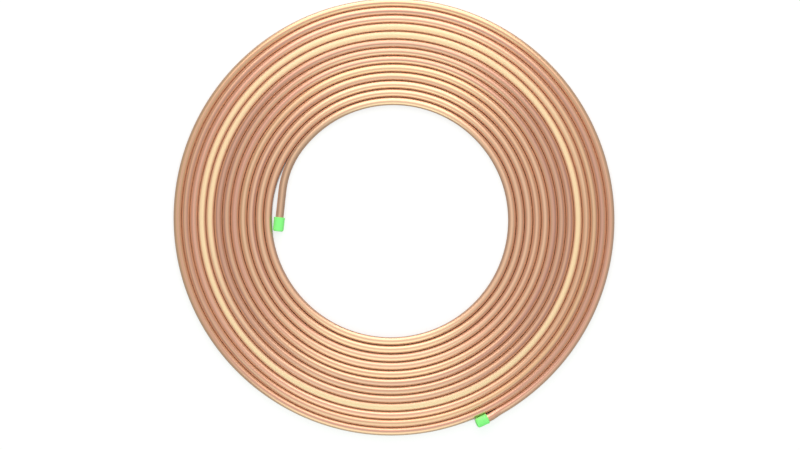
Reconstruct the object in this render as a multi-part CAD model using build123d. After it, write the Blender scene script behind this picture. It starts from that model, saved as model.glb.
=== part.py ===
from build123d import *
from math import acos, asin, atan2, cos, degrees, hypot, radians, sin, sqrt, tan
import os

# A flat coil of soft copper tube, wound in one layer and lying on the floor.
# Millimetres and degrees. +Z is up, the floor is z = 0, and the winding's axis is the Z axis.

# The tube. Coiling leaves it oval, by ovality narrower across the coil and taller
tube_diameter = 9.525
tube_wall = 0.81
ovality = 0.05

# The winding: quarter turns about the corners of a small square, so that each turn lies
# outside the last. The gap between the turns shrinks evenly from the first turn to the last
first_turn_radius = 139.15
winding_start_angle = 140.0
winding_turns = 12.5557
first_turn_gap = 0.5
last_turn_gap = 0.08

# The free inner end: a bend about a centre off the winding's leans it into the coil's eye,
# and then it runs straight back towards the next turn
inner_bend_offset = 35.2
inner_run = 31.7
inner_cap_to_turn_gap = 0.3
inner_cap_to_floor_gap = 0.1

# The outer end: it springs up, and bends out and back in to make room for its cap
outer_bend_radius = 45.0
outer_run = 1.0
outer_cap_to_turn_gap = 0.15
outer_cap_to_floor_gap = 1.5

# Each end starts to rise in an arc with tangents this long
lift_tangent = 1.0

# The push-on caps: cups with a bead round the mouth, the outer one a little smaller
inner_cap_wall = 1.5
inner_cap_depth = 14.8
outer_cap_wall = 1.1
outer_cap_depth = 12.8
cap_end_wall = 1.8
cap_clearance = 0.1
cap_edge_radius = 2.4
bead_height = 0.25
bead_width = 2.0
bead_radius = 0.15

tube_width = tube_diameter - ovality
tube_height = tube_diameter + ovality
inner_bend_radius = first_turn_radius - inner_bend_offset
cap_bore_radius = tube_diameter / 2 + cap_clearance
inner_cap_radius = cap_bore_radius + inner_cap_wall
outer_cap_radius = cap_bore_radius + outer_cap_wall
outer_bead_radius = outer_cap_radius + bead_height
inner_rise = inner_cap_radius + bead_height + inner_cap_to_floor_gap - tube_height / 2
outer_rise = outer_bead_radius + outer_cap_to_floor_gap - tube_height / 2


# A frame stands on the tube's centre line: +Z along the tube, +X level and +Y up.
# Each move below is a step from one frame to the next, and leaves in the direction of +Z.


def straight(length):
    return Pos(0, 0, length)


def side_bend(centre_x, angle):
    """A level arc about a centre that lies at X = centre_x."""
    turning = 1 if centre_x > 0 else -1
    return Pos(centre_x, 0, 0) * Rot(0, turning * angle, 0) * Pos(-centre_x, 0, 0)


def lift_bend(angle):
    """A slight upward arc, with both its tangents lift_tangent long."""
    radius = lift_tangent / tan(radians(angle) / 2)
    return Pos(0, radius, 0) * Rot(-angle, 0, 0) * Pos(0, -radius, 0)


def centre_line(step):
    """The line or arc that a step follows."""
    end = step.position
    if end.X == 0 and end.Y == 0:
        return Line((0, 0, 0), end)
    return TangentArc((0, 0, 0), end, tangent=(0, 0, 1))


def follow(frame, steps):
    """The edges of the centre line through a row of steps, and the frame that it ends at."""
    edges = []
    for step in steps:
        edges.append(frame * centre_line(step))
        frame = frame * step
    return edges, frame


def turn_pitch(share):
    """The spacing of the turns where this share of the winding is done."""
    return tube_width + first_turn_gap + (last_turn_gap - first_turn_gap) * share


def winding_steps():
    """Quarter turns, each a quarter of a pitch wider in radius, and the last one's radius."""
    steps = []
    radius = first_turn_radius
    angle = winding_start_angle - 90
    angle_left = winding_turns * 360
    while angle_left > angle:
        steps.append(side_bend(-radius, angle))
        angle_left -= angle
        radius += turn_pitch(1 - angle_left / (winding_turns * 360)) / 4
        angle = 90
    steps.append(side_bend(-radius, angle_left))
    return steps, radius


def end_steps(bends, run, rise):
    """A lift, some bends and a straight run up to the cap, whose mouth is higher by a rise."""
    steps = bends + [straight(run)]
    mouth = Pos(0, 0, lift_tangent)
    for step in steps:
        mouth = mouth * step
    slope = asin(rise / mouth.position.Z)
    return [lift_bend(degrees(slope))] + steps


def inner_bend_angle():
    """The bend that leaves the gap between the inner cap's end and the next turn.

    From above, the bend's centre, the winding's centre and the cap's end make a triangle
    with three known sides.
    """
    lead = 2 * lift_tangent
    run = inner_run + inner_cap_depth + cap_clearance + cap_end_wall
    to_winding = hypot(inner_bend_offset, lead)
    to_end = hypot(inner_bend_radius, run)
    next_turn_wall = first_turn_radius + turn_pitch(0) - tube_width / 2
    end_radius = next_turn_wall - inner_cap_to_turn_gap - inner_cap_radius
    opening = acos((end_radius**2 - to_winding**2 - to_end**2) / (2 * to_winding * to_end))
    return degrees(opening + atan2(lead, inner_bend_offset) - atan2(run, inner_bend_radius))


def outer_bends(turn_radius):
    """The bends that bring the outer cap just clear of the turn beside it.

    From above, the winding's centre and the two bends' centres make a triangle with three known
    sides. The second bend goes on until the cap lies along the turn.
    """
    beside = outer_bead_radius + outer_cap_to_turn_gap + tube_width / 2
    offset = sqrt(beside**2 - outer_rise**2) - turn_pitch(1)
    lead = 2 * lift_tangent
    across = turn_radius + outer_bend_radius
    to_first = hypot(across, lead)
    to_second = turn_radius + offset - outer_bend_radius
    apart = 2 * outer_bend_radius
    corner = acos((to_first**2 + apart**2 - to_second**2) / (2 * to_first * apart))
    outward = corner - atan2(lead, across)
    around = atan2(lead + apart * sin(outward), across - apart * cos(outward))
    along = atan2(outer_run + outer_cap_depth / 2, turn_radius)
    first = side_bend(outer_bend_radius, degrees(outward))
    second = side_bend(-outer_bend_radius, degrees(outward + around + along))
    return [first, second]


def winding_start():
    """The frame where the winding starts, facing clockwise as seen from above."""
    corner = turn_pitch(0) / 8
    centre = Pos(corner, corner, tube_height / 2) * Rot(0, 0, winding_start_angle)
    return centre * Pos(first_turn_radius, 0, 0) * Rot(90, 0, 0)


def route():
    """The tube's whole centre line, and the frames at its inner and outer ends."""
    inner_bend = side_bend(inner_bend_radius, inner_bend_angle())
    inner = end_steps([inner_bend], inner_run, inner_rise) + [straight(inner_cap_depth)]
    outer, last_radius = winding_steps()
    outer += end_steps(outer_bends(last_radius), outer_run, outer_rise)
    outer.append(straight(outer_cap_depth))
    inward, inner_end = follow(winding_start() * Rot(0, 180, 0), inner)
    outward, outer_end = follow(winding_start(), outer)
    return Wire([line.edge() for line in inward + outward]), inner_end, outer_end


def make_tube(path, end):
    """One hollow length of tube along the whole path, which starts at the frame end."""
    outside = Ellipse(tube_width / 2, tube_height / 2)
    bore = Ellipse(tube_width / 2 - tube_wall, tube_height / 2 - tube_wall)
    return sweep(end * (outside - bore), path=path)


def make_cap(radius, depth):
    """A cap turned about the Z axis, for a tube that ends at z = 0 and comes from below."""
    top_z = cap_clearance + cap_end_wall
    bead_z = bead_width - depth
    outline = Polyline(
        (0, cap_clearance),
        (cap_bore_radius, cap_clearance),
        (cap_bore_radius, -depth),
        (radius + bead_height, -depth),
        (radius + bead_height, bead_z),
        (radius, bead_z + bead_height),
        (radius, top_z),
        (0, top_z),
        close=True,
    )
    profile = make_face(outline)
    bead_corners = profile.vertices().sort_by(Axis.X)[-2:]
    profile = fillet(bead_corners, bead_radius)
    shoulder = profile.vertices().group_by(Axis.Y)[-1].sort_by(Axis.X)[-1]
    profile = fillet(shoulder, cap_edge_radius)
    return revolve(Rot(90, 0, 0) * profile, Axis.Z)


def write(node, solid):
    export_step(solid, os.path.join("parts", node + ".step"))


os.makedirs("parts", exist_ok=True)
path, inner_end, outer_end = route()
write("tube_coil", make_tube(path, inner_end))
write("inner_end_cap", inner_end * make_cap(inner_cap_radius, inner_cap_depth))
write("outer_end_cap", outer_end * make_cap(outer_cap_radius, outer_cap_depth))
print("tube length", round(path.length / 1000, 2), "m")
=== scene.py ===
from math import acos, asin, atan2, ceil, cos, degrees, hypot, pi, radians, sin, sqrt, tan

import bpy
import numpy as np
from mathutils import Matrix, Vector


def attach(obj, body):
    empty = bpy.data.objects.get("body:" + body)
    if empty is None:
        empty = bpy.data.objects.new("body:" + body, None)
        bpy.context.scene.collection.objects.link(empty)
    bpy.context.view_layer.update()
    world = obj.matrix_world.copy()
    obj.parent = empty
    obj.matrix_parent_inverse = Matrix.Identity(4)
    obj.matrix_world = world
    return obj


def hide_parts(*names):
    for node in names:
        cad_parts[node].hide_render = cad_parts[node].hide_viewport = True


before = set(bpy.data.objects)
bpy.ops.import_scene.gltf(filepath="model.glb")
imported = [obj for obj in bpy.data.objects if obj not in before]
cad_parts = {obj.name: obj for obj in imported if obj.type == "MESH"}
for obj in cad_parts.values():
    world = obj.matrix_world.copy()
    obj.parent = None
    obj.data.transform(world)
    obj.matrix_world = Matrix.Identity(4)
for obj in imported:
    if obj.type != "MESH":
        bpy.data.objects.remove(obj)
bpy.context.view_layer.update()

# The part's own sizes, in millimetres and degrees. The floor is z = 0 and +Y is the photograph's top.
TUBE_DIAMETER = 9.525
TUBE_WALL = 0.81
OVALITY = 0.05
FIRST_TURN_RADIUS = 139.15
WINDING_START_ANGLE = 140.0
WINDING_TURNS = 12.5557
FIRST_TURN_GAP = 0.5
LAST_TURN_GAP = 0.08
INNER_BEND_OFFSET = 35.2
INNER_RUN = 31.7
INNER_CAP_TO_TURN_GAP = 0.3
INNER_CAP_TO_FLOOR_GAP = 0.1
OUTER_BEND_RADIUS = 45.0
OUTER_RUN = 1.0
OUTER_CAP_TO_TURN_GAP = 0.15
OUTER_CAP_TO_FLOOR_GAP = 1.5
LIFT_TANGENT = 1.0
INNER_CAP_WALL = 1.5
INNER_CAP_DEPTH = 14.8
OUTER_CAP_WALL = 1.1
OUTER_CAP_DEPTH = 12.8
CAP_END_WALL = 1.8
CAP_CLEARANCE = 0.1
CAP_EDGE_RADIUS = 2.4
BEAD_HEIGHT = 0.25
BEAD_WIDTH = 2.0

TUBE_WIDTH = TUBE_DIAMETER - OVALITY
TUBE_HEIGHT = TUBE_DIAMETER + OVALITY
INNER_BEND_RADIUS = FIRST_TURN_RADIUS - INNER_BEND_OFFSET
CAP_BORE_RADIUS = TUBE_DIAMETER / 2 + CAP_CLEARANCE
INNER_CAP_RADIUS = CAP_BORE_RADIUS + INNER_CAP_WALL
OUTER_CAP_RADIUS = CAP_BORE_RADIUS + OUTER_CAP_WALL
OUTER_BEAD_RADIUS = OUTER_CAP_RADIUS + BEAD_HEIGHT
INNER_RISE = INNER_CAP_RADIUS + BEAD_HEIGHT + INNER_CAP_TO_FLOOR_GAP - TUBE_HEIGHT / 2
OUTER_RISE = OUTER_BEAD_RADIUS + OUTER_CAP_TO_FLOOR_GAP - TUBE_HEIGHT / 2

# The photograph: its frame and the winding's axis in pixels, and the size of a pixel
PHOTO_WIDTH = 800
PHOTO_HEIGHT = 450
AXIS_PX = (391.99, 219.10)
MM_PER_PX = 1.190

# Meshes: the most millimetres between two rings of the tube, the points in each ring, and the
# angles in degrees above which edges are sharp
RING_SPACING = 7.0
OUTSIDE_SIDES = 28
BORE_SIDES = 14
CAP_SIDES = 96
TUBE_SHARP_ANGLE = 50
CAP_SHARP_ANGLE = 40

# The copper's colours, in linear RGB
PINK_COPPER = (0.88, 0.47, 0.335, 1)
OLIVE_COPPER = (0.88, 0.55, 0.32, 1)
PALE_COPPER = (0.93, 0.56, 0.36, 1)
BROWN_COPPER = (0.50, 0.33, 0.21, 1)
DULL_COPPER = (0.78, 0.45, 0.30, 1)
# A lighter copper for one stretch, which the tube's crown takes in full as a painted highlight
LIGHT_COPPER_AND_CROWN_HIGHLIGHT = (1.0, 0.73, 0.42, 1)
DARK_BAND = (0.66, 0.35, 0.27, 1)
LIGHT_BAND = (0.97, 0.63, 0.42, 1)
STREAK = (0.72, 0.44, 0.32, 1)
# Flank colours, paler outside than inside: painted light that sets how light and how red the grooves
# between the turns look
INNER_FLANK_PAINTED_LIGHT = (0.82, 0.54, 0.39, 1)
OUTER_FLANK_PAINTED_LIGHT = (0.88, 0.63, 0.46, 1)

# Where these colours show along the tube, in metres from the winding's start. Each fades in from its
# first place to its second, and a stretch fades out from its third place to its fourth
PALE_START = (4.0, 0.5)
BROWN_START = (0.15, -0.02)
DULL_STRETCH = (4.9, 7.0, 8.4, 8.7)
LIGHT_STRETCH = (8.6, 8.85, 10.65, 11.0)

# Where the light colour and the flanks' colours fade in across the tube, in metres from its crown,
# and how much of the light colour is left on the flanks. The light colour in full on the crown is a
# painted highlight, and the flanks' colours are painted light in the grooves between the turns
CROWN_HIGHLIGHT_EDGE = (0.0042, 0.0012)
FLANK_EDGE = (0.0027, 0.0042)
LIGHT_ON_FLANKS = 0.2

# How rough the copper is on its crown and on its flanks
CROWN_ROUGHNESS = 0.3
FLANK_ROUGHNESS = 0.6

# An arch of soft boxes, in a half towards the photograph's bottom and one towards its top. Each half
# has a turn about the vertical, a width in metres, a colour, and the boxes' angles from overhead
# with their radiance
BOTTOM_BOXES = (-5, 1.15, (0.68, 1.0, 0.84), ((-80, 0.9), (-60, 1.25), (-40, 0.75), (-20, 0.1)))
TOP_BOXES = (0, 1.25, (1.0, 0.93, 0.87), ((20, 0.4), (40, 1.8), (60, 1.4), (80, 3.0)))

MM = 0.001
HALF_TURN = Matrix.Rotation(pi, 4, "Y")


# The tube's centre line, as in the part's source: a step is a move that starts at the origin
# along +Z, with +X level and +Y up, given as a function of how much of it is done, and a length.


def straight(length):
    return lambda done: Matrix.Translation((0, 0, length * done)), length


def arc(centre, axis, angle):
    """A turn by an angle about an axis through a centre."""
    to_centre = Matrix.Translation(centre)

    def place(done):
        return to_centre @ Matrix.Rotation(radians(angle) * done, 4, axis) @ to_centre.inverted()

    return place, Vector(centre).length * abs(radians(angle))


def side_bend(centre_x, angle):
    return arc((centre_x, 0, 0), "Y", angle if centre_x > 0 else -angle)


def lift_bend(angle):
    radius = LIFT_TANGENT / tan(radians(angle) / 2)
    return arc((0, radius, 0), "X", -angle)


def turn_pitch(share):
    """The spacing of the turns where this share of the winding is done."""
    return TUBE_WIDTH + FIRST_TURN_GAP + (LAST_TURN_GAP - FIRST_TURN_GAP) * share


def winding_steps():
    """Quarter turns, each a quarter of a pitch wider in radius, and the last one's radius."""
    steps = []
    radius = FIRST_TURN_RADIUS
    angle = WINDING_START_ANGLE - 90
    angle_left = WINDING_TURNS * 360
    while angle_left > angle:
        steps.append(side_bend(-radius, angle))
        angle_left -= angle
        radius += turn_pitch(1 - angle_left / (WINDING_TURNS * 360)) / 4
        angle = 90
    steps.append(side_bend(-radius, angle_left))
    return steps, radius


def end_steps(bends, run, rise):
    """A lift, some bends and a straight run up to the cap, whose mouth is higher by a rise."""
    steps = bends + [straight(run)]
    mouth = Matrix.Translation((0, 0, LIFT_TANGENT))
    for place, _ in steps:
        mouth = mouth @ place(1)
    slope = asin(rise / mouth.translation.z)
    return [lift_bend(degrees(slope))] + steps


def inner_bend_angle():
    """The bend that leaves the gap between the inner cap's end and the next turn."""
    lead = 2 * LIFT_TANGENT
    run = INNER_RUN + INNER_CAP_DEPTH + CAP_CLEARANCE + CAP_END_WALL
    to_winding = hypot(INNER_BEND_OFFSET, lead)
    to_end = hypot(INNER_BEND_RADIUS, run)
    next_turn_wall = FIRST_TURN_RADIUS + turn_pitch(0) - TUBE_WIDTH / 2
    end_radius = next_turn_wall - INNER_CAP_TO_TURN_GAP - INNER_CAP_RADIUS
    opening = acos((end_radius**2 - to_winding**2 - to_end**2) / (2 * to_winding * to_end))
    return degrees(opening + atan2(lead, INNER_BEND_OFFSET) - atan2(run, INNER_BEND_RADIUS))


def outer_bends(turn_radius):
    """The bends that bring the outer cap just clear of the turn beside it, and lie along it."""
    beside = OUTER_BEAD_RADIUS + OUTER_CAP_TO_TURN_GAP + TUBE_WIDTH / 2
    offset = sqrt(beside**2 - OUTER_RISE**2) - turn_pitch(1)
    lead = 2 * LIFT_TANGENT
    across = turn_radius + OUTER_BEND_RADIUS
    to_first = hypot(across, lead)
    to_second = turn_radius + offset - OUTER_BEND_RADIUS
    apart = 2 * OUTER_BEND_RADIUS
    corner = acos((to_first**2 + apart**2 - to_second**2) / (2 * to_first * apart))
    outward = corner - atan2(lead, across)
    around = atan2(lead + apart * sin(outward), across - apart * cos(outward))
    along = atan2(OUTER_RUN + OUTER_CAP_DEPTH / 2, turn_radius)
    first = side_bend(OUTER_BEND_RADIUS, degrees(outward))
    second = side_bend(-OUTER_BEND_RADIUS, degrees(outward + around + along))
    return [first, second]


def follow(start, steps):
    """Frames along a row of steps, the length at each of them, and the last frame."""
    frames = [start]
    lengths = [0.0]
    for place, length in steps:
        count = ceil(length / RING_SPACING)
        base = frames[-1]
        so_far = lengths[-1]
        for i in range(1, count + 1):
            frames.append(base @ place(i / count))
            lengths.append(so_far + length * i / count)
    return frames, lengths


def winding_start():
    """The frame where the winding starts, facing clockwise as seen from above."""
    corner = turn_pitch(0) / 8
    centre = Matrix.Translation((corner, corner, TUBE_HEIGHT / 2))
    centre = centre @ Matrix.Rotation(radians(WINDING_START_ANGLE), 4, "Z")
    return centre @ Matrix.Translation((FIRST_TURN_RADIUS, 0, 0)) @ Matrix.Rotation(pi / 2, 4, "X")


def centre_line():
    """Frames from the inner end to the outer end, and the length at each from the winding's start."""
    inner_bend = side_bend(INNER_BEND_RADIUS, inner_bend_angle())
    inner = end_steps([inner_bend], INNER_RUN, INNER_RISE) + [straight(INNER_CAP_DEPTH)]
    outer, last_radius = winding_steps()
    outer += end_steps(outer_bends(last_radius), OUTER_RUN, OUTER_RISE)
    outer.append(straight(OUTER_CAP_DEPTH))
    inward, inward_lengths = follow(winding_start() @ HALF_TURN, inner)
    outward, outward_lengths = follow(winding_start(), outer)
    frames = [f @ HALF_TURN for f in reversed(inward)] + outward[1:]
    lengths = [-s for s in reversed(inward_lengths)] + outward_lengths[1:]
    return np.array([list(map(list, f)) for f in frames]), np.array(lengths)


# Meshes


def make_object(name, vertices, faces, sharp_angle):
    """A smooth mesh from points in millimetres, with its edges sharp above an angle."""
    mesh = bpy.data.meshes.new(name)
    mesh.from_pydata((np.asarray(vertices) * MM).tolist(), [], faces)
    mesh.polygons.foreach_set("use_smooth", [True] * len(mesh.polygons))
    mesh.set_sharp_from_angle(angle=radians(sharp_angle))
    mesh.validate()
    made = bpy.data.objects.new(name, mesh)
    bpy.context.scene.collection.objects.link(made)
    return made


def section(sides, half_width, half_height):
    """Points round the tube's section, as (across, up)."""
    turn = np.arange(sides) * 2 * pi / sides
    return np.stack([half_width * np.cos(turn), half_height * np.sin(turn)], axis=1)


def rings(frames, points):
    """A ring of the section's points at each frame."""
    flat = np.zeros((len(points), 4))
    flat[:, :2] = points
    flat[:, 3] = 1
    return (flat @ frames.transpose(0, 2, 1))[:, :, :3].reshape(-1, 3)


def unroll(lengths, points):
    """Where each ring's points lie on the tube's outside: along, across and up, in metres."""
    lay = np.zeros((len(lengths), len(points), 3))
    lay[:, :, 0] = lengths[:, None]
    lay[:, :, 1:] = points
    return lay.reshape(-1, 3) * MM


def skin(count, sides, first, outward):
    """Quads between neighbouring rings, from the ring that starts at the point first."""
    faces = []
    for ring in range(count - 1):
        here = first + ring * sides
        for i in range(sides):
            j = (i + 1) % sides
            quad = (here + i, here + j, here + sides + j, here + sides + i)
            faces.append(quad if outward else quad[::-1])
    return faces


def rim(outside, bore, flip):
    """The tube's cut end, between a ring outside and a ring in the bore."""
    per_side = OUTSIDE_SIDES // BORE_SIDES
    faces = []
    for i in range(BORE_SIDES):
        j = (i + 1) % BORE_SIDES
        edge = [outside + (i * per_side + k) % OUTSIDE_SIDES for k in range(per_side + 1)]
        face = edge + [bore + j, bore + i]
        faces.append(face[::-1] if flip else face)
    return faces


def make_tube(frames, lengths):
    """The whole hollow tube. Its attribute lay gives each point's place on the outside, unrolled."""
    count = len(frames)
    half_width, half_height = TUBE_WIDTH / 2, TUBE_HEIGHT / 2
    outside = section(OUTSIDE_SIDES, half_width, half_height)
    bore = section(BORE_SIDES, half_width - TUBE_WALL, half_height - TUBE_WALL)
    bore_first = count * OUTSIDE_SIDES
    faces = skin(count, OUTSIDE_SIDES, 0, True)
    faces += skin(count, BORE_SIDES, bore_first, False)
    faces += rim(0, bore_first, True)
    faces += rim((count - 1) * OUTSIDE_SIDES, bore_first + (count - 1) * BORE_SIDES, False)
    points = np.concatenate([rings(frames, outside), rings(frames, bore)])
    tube = make_object("copper_tube", points, faces, TUBE_SHARP_ANGLE)
    above_bore = section(BORE_SIDES, half_width, half_height)
    lay = np.concatenate([unroll(lengths, outside), unroll(lengths, above_bore)])
    attribute = tube.data.attributes.new("lay", "FLOAT_VECTOR", "POINT")
    attribute.data.foreach_set("vector", lay.ravel())
    return tube


def corner(centre_r, centre_z, radius, start, end, count):
    """Points on a rounded corner of a profile."""
    angles = [radians(start + (end - start) * i / count) for i in range(count + 1)]
    return [(centre_r + radius * cos(a), centre_z + radius * sin(a)) for a in angles]


def cap_profile(radius, depth):
    """Half of the cap's section, as (distance from its axis, place along it): mouth at -depth."""
    top = CAP_CLEARANCE + CAP_END_WALL
    lip = 0.4
    bead = radius + BEAD_HEIGHT
    bead_end = -depth + BEAD_WIDTH
    foot_height = 0.02
    foot_start, foot_end = bead_end + 0.4, bead_end + 0.9
    bore_chamfer = 0.5
    flat_share = 0.3
    return (
        [(0, CAP_CLEARANCE), (CAP_BORE_RADIUS - bore_chamfer, CAP_CLEARANCE)]
        + [(CAP_BORE_RADIUS, CAP_CLEARANCE - bore_chamfer)]
        + corner(CAP_BORE_RADIUS + lip, -depth + lip, lip, 180, 270, 4)
        + corner(bead - lip, -depth + lip, lip, -90, 0, 6)
        + corner(bead - lip, bead_end - lip, lip, 0, 60, 4)
        + [(radius + foot_height, foot_start), (radius, foot_end)]
        + corner(radius - CAP_EDGE_RADIUS, top - CAP_EDGE_RADIUS, CAP_EDGE_RADIUS, 0, 90, 12)
        + [(radius * flat_share, top), (0, top)]
    )


def make_cap(name, end, radius, depth):
    """A turned cap on the tube's end, whose frame points out of the tube."""
    profile = cap_profile(radius, depth)
    points = [(0, 0, profile[0][1])]
    for r, z in profile[1:-1]:
        for i in range(CAP_SIDES):
            turn = i * 2 * pi / CAP_SIDES
            points.append((r * cos(turn), r * sin(turn), z))
    points.append((0, 0, profile[-1][1]))
    rows = len(profile) - 2
    last = len(points) - 1
    faces = []
    for i in range(CAP_SIDES):
        j = (i + 1) % CAP_SIDES
        faces.append((0, 1 + i, 1 + j))
        for row in range(rows - 1):
            here = 1 + row * CAP_SIDES
            faces.append((here + i, here + CAP_SIDES + i, here + CAP_SIDES + j, here + j))
        final = 1 + (rows - 1) * CAP_SIDES
        faces.append((final + i, last, final + j))
    placed = np.array([list(Matrix(end.tolist()) @ Vector(p)) for p in points])
    return make_object(name, placed, faces, CAP_SHARP_ANGLE)


# Materials


class Nodes:
    """Short ways to build a material's or the world's nodes."""

    def __init__(self, tree):
        self.tree = tree
        tree.nodes.clear()

    def add(self, kind, inputs=None, **settings):
        """A node whose inputs, by name or number, are linked to a socket or set to a value."""
        node = self.tree.nodes.new(kind)
        for name, value in settings.items():
            setattr(node, name, value)
        for name, value in (inputs or {}).items():
            if isinstance(value, bpy.types.NodeSocket):
                self.tree.links.new(value, node.inputs[name])
            else:
                node.inputs[name].default_value = value
        return node

    def math(self, operation, a, b=0.0):
        return self.add("ShaderNodeMath", {0: a, 1: b}, operation=operation).outputs[0]

    def ramp(self, value, low, high, to_low=0.0, to_high=1.0):
        """A smooth step from to_low at low to to_high at high."""
        inputs = {"Value": value, "From Min": low, "From Max": high, "To Min": to_low, "To Max": to_high}
        return self.add("ShaderNodeMapRange", inputs, interpolation_type="SMOOTHSTEP").outputs[0]

    def stretch(self, value, start, full, waning, end):
        """1 from full to waning, and 0 before start and after end."""
        return self.math("MULTIPLY", self.ramp(value, start, full), self.ramp(value, end, waning))

    def noise(self, vector, per_metre, detail):
        """A noise with its own number of features per metre in each direction."""
        mapping = self.add("ShaderNodeMapping", {"Vector": vector, "Scale": per_metre})
        inputs = {"Vector": mapping.outputs[0], "Scale": 1.0, "Detail": detail}
        return self.add("ShaderNodeTexNoise", inputs).outputs["Fac"]

    def mix(self, factor, a, b):
        node = self.add("ShaderNodeMix", {"Factor": factor, 6: a, 7: b}, data_type="RGBA")
        return node.outputs[2]


def new_material(name):
    material = bpy.data.materials.new(name)
    material.use_nodes = True
    return material, Nodes(material.node_tree)


def along_the_tube(n, lay, along):
    """Pink and olive in turn, paler and then brown towards the inner end, and dull in one stretch."""
    tint = n.noise(lay, per_metre=(0.9, 0, 0), detail=1)
    colour = n.mix(n.ramp(tint, 0.4, 0.6), PINK_COPPER, OLIVE_COPPER)
    colour = n.mix(n.ramp(along, *PALE_START), colour, PALE_COPPER)
    colour = n.mix(n.ramp(along, *BROWN_START), colour, BROWN_COPPER)
    return n.mix(n.stretch(along, *DULL_STRETCH), colour, DULL_COPPER)


def with_bands(n, lay, colour):
    """Broad darker and lighter bands, which run along the tube and change slowly."""
    bands = n.noise(lay, per_metre=(0.6, 330, 330), detail=1)
    colour = n.mix(n.ramp(bands, 0.48, 0.62, 0.0, 0.7), colour, DARK_BAND)
    return n.mix(n.ramp(bands, 0.48, 0.36, 0.0, 0.6), colour, LIGHT_BAND)


def with_streaks(n, lay, colour):
    """Fine darker streaks along the tube."""
    streaks = n.noise(lay, per_metre=(6, 1400, 1400), detail=2)
    return n.mix(n.ramp(streaks, 0.3, 0.8, 0.0, 0.25), colour, STREAK)


def copper():
    """Satin copper with a lighter stretch, on which the crown is lightest as a painted highlight, and
    with dull flanks whose colours are painted light in the grooves.
    """
    material, n = new_material("drawn_copper")
    lay = n.add("ShaderNodeAttribute", attribute_name="lay").outputs["Vector"]
    place = n.add("ShaderNodeSeparateXYZ", {0: lay})
    along = place.outputs["X"]
    outward = place.outputs["Y"]
    off_crown = n.math("ABSOLUTE", outward)
    # The lighter stretch: its crown gets the light colour in full, a painted highlight, and its flanks
    # only a share of it
    light = n.stretch(along, *LIGHT_STRETCH)
    light = n.math("MULTIPLY", light, n.ramp(off_crown, *CROWN_HIGHLIGHT_EDGE, LIGHT_ON_FLANKS, 1.0))
    flank = n.ramp(off_crown, *FLANK_EDGE)
    # The flanks' colours are painted light in the grooves, paler on the outer flank than on the inner
    flank_painted_light = n.mix(n.ramp(outward, -0.001, 0.001), INNER_FLANK_PAINTED_LIGHT, OUTER_FLANK_PAINTED_LIGHT)
    colour = with_bands(n, lay, along_the_tube(n, lay, along))
    colour = n.mix(light, colour, LIGHT_COPPER_AND_CROWN_HIGHLIGHT)
    colour = n.mix(flank, with_streaks(n, lay, colour), flank_painted_light)
    shader = n.add(
        "ShaderNodeBsdfPrincipled",
        {
            "Base Color": colour,
            "Metallic": n.ramp(light, 0.0, 1.0, 1.0, 0.05),
            "Roughness": n.ramp(flank, 0.0, 1.0, CROWN_ROUGHNESS, FLANK_ROUGHNESS),
            "Specular IOR Level": 0.9,
        },
    )
    n.add("ShaderNodeOutputMaterial", {"Surface": shader.outputs[0]})
    return material


def cap_plastic():
    """Neon green plastic with a painted glow: it emits a little light of its own, in place of
    fluorescent dye's brightness in daylight.
    """
    material, n = new_material("cap_plastic")
    shader = n.add(
        "ShaderNodeBsdfPrincipled",
        {
            "Base Color": (0.26, 0.90, 0.24, 1),
            "Roughness": 0.18,
            # Painted glow: the cap gives off light though it is no lamp
            "Emission Color": (0.08, 1.0, 0.07, 1),
            "Emission Strength": 0.12,
        },
    )
    n.add("ShaderNodeOutputMaterial", {"Surface": shader.outputs[0]})
    return material


def open_floor(n):
    """1 where the floor lies open or in the coil's eye, and 0 in the slits between the turns, which get
    painted shade.
    """
    eye_radius, eye_edge = 0.142, 0.0015
    sky = n.add("ShaderNodeAmbientOcclusion", {"Distance": 0.02}, samples=8).outputs["AO"]
    place = n.add("ShaderNodeNewGeometry").outputs["Position"]
    level = n.add("ShaderNodeVectorMath", {0: place, 1: (1, 1, 0)}, operation="MULTIPLY").outputs[0]
    radius = n.add("ShaderNodeVectorMath", {0: level}, operation="LENGTH").outputs["Value"]
    in_eye = n.ramp(radius, eye_radius + eye_edge, eye_radius)
    return n.math("MAXIMUM", in_eye, n.ramp(sky, 0.2, 0.42))


def floor_white():
    """A pale floor that the camera sees as white where it is open; in the slits between the turns it has
    painted shade, brown and without the white.
    """
    # brown is painted shade for the slits between the turns, tinted as by light off the copper
    pale, brown = (0.35, 0.35, 0.35, 1), (0.22, 0.10, 0.06, 1)
    white_lift = 0.7
    material, n = new_material("floor_white")
    is_camera = n.add("ShaderNodeLightPath").outputs["Is Camera Ray"]
    is_open = open_floor(n)
    lift = n.math("MULTIPLY", is_open, white_lift)
    # Painted shade: in the slits the floor is brown, and the camera's white is left out there
    diffuse = n.add("ShaderNodeBsdfDiffuse", {"Color": n.mix(is_open, brown, pale)})
    glow = n.add("ShaderNodeEmission", {"Strength": n.math("MULTIPLY", is_camera, lift)})
    both = n.add("ShaderNodeAddShader", {0: diffuse.outputs[0], 1: glow.outputs[0]})
    n.add("ShaderNodeOutputMaterial", {"Surface": both.outputs[0]})
    return material


# Stage, light and camera


def make_floor():
    """A level floor, ten metres to each side of the coil."""
    reach = 10.0
    corners = [(-reach, -reach, 0), (reach, -reach, 0), (reach, reach, 0), (-reach, reach, 0)]
    mesh = bpy.data.meshes.new("floor")
    mesh.from_pydata(corners, [], [(0, 1, 2, 3)])
    mesh.materials.append(floor_white())
    floor = bpy.data.objects.new("floor", mesh)
    bpy.context.scene.collection.objects.link(floor)


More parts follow.
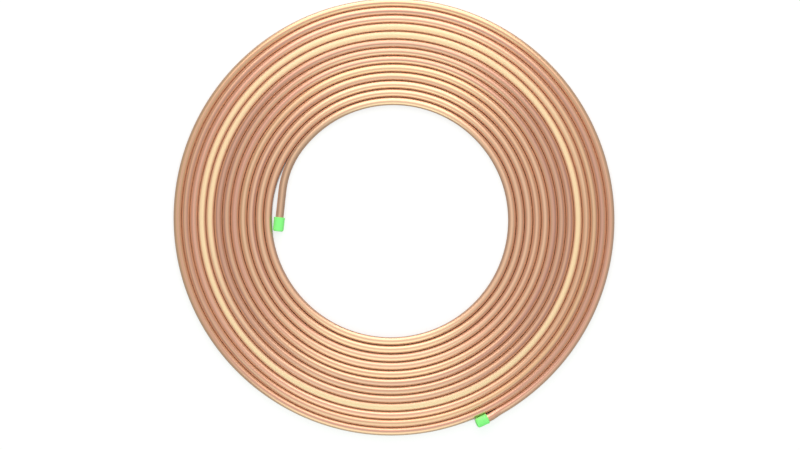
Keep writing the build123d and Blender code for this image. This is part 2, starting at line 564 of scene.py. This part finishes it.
def make_lamps():
    """The soft boxes, each on the arch about the origin and facing it."""
    distance, spread = 1.2, 20
    height = 2 * distance * tan(radians(spread) / 2)
    for turn, width, colour, boxes in (BOTTOM_BOXES, TOP_BOXES):
        turned = Matrix.Rotation(radians(turn), 4, "Z")
        for angle, radiance in boxes:
            data = bpy.data.lights.new("soft_box", "AREA")
            data.shape = "RECTANGLE"
            data.size = width
            data.size_y = height
            data.color = colour
            data.energy = radiance * width * height * pi
            lamp = bpy.data.objects.new("soft_box", data)
            tilt = Matrix.Rotation(radians(-angle), 4, "X")
            lamp.matrix_world = turned @ tilt @ Matrix.Translation((0, 0, distance))
            lamp.visible_camera = False
            bpy.context.scene.collection.objects.link(lamp)


def make_world():
    """A dim soft room, a little brighter overhead."""
    world = bpy.data.worlds.new("room")
    bpy.context.scene.world = world
    world.use_nodes = True
    n = Nodes(world.node_tree)
    walls, ceiling = 0.56, 0.83
    direction = n.add("ShaderNodeTexCoord").outputs["Generated"]
    up = n.add("ShaderNodeSeparateXYZ", {0: direction}).outputs["Z"]
    strength = n.ramp(up, 0.7, 1.0, walls, ceiling)
    background = n.add("ShaderNodeBackground", {"Color": (1, 1, 1, 1), "Strength": strength})
    n.add("ShaderNodeOutputWorld", {"Surface": background.outputs[0]})


def make_camera():
    """Straight down, so far off that a pixel has its size at the height of the tube's centre line."""
    lens, sensor = 200.0, 36.0
    distance = PHOTO_WIDTH * lens / sensor * MM_PER_PX
    data = bpy.data.cameras.new("camera")
    data.lens = lens
    data.sensor_width = sensor
    data.clip_end = 100
    camera = bpy.data.objects.new("camera", data)
    x = (PHOTO_WIDTH / 2 - AXIS_PX[0]) * MM_PER_PX
    y = (AXIS_PX[1] - PHOTO_HEIGHT / 2) * MM_PER_PX
    camera.location = Vector((x, y, distance + TUBE_HEIGHT / 2)) * MM
    bpy.context.scene.collection.objects.link(camera)
    bpy.context.scene.camera = camera


def dress(piece, node, material):
    """Gives a piece its material, ties it to the part's body and hides the node it replaces."""
    piece.data.materials.append(material)
    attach(piece, "root")
    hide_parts(node)


frames, lengths = centre_line()
plastic = cap_plastic()
dress(make_tube(frames, lengths), "tube_coil", copper())
inner_cap = make_cap("inner_cap", frames[0] @ np.array(HALF_TURN), INNER_CAP_RADIUS, INNER_CAP_DEPTH)
dress(inner_cap, "inner_end_cap", plastic)
outer_cap = make_cap("outer_cap", frames[-1], OUTER_CAP_RADIUS, OUTER_CAP_DEPTH)
dress(outer_cap, "outer_end_cap", plastic)
make_floor()
make_world()
make_lamps()
make_camera()
bpy.context.scene.view_settings.view_transform = "Standard"
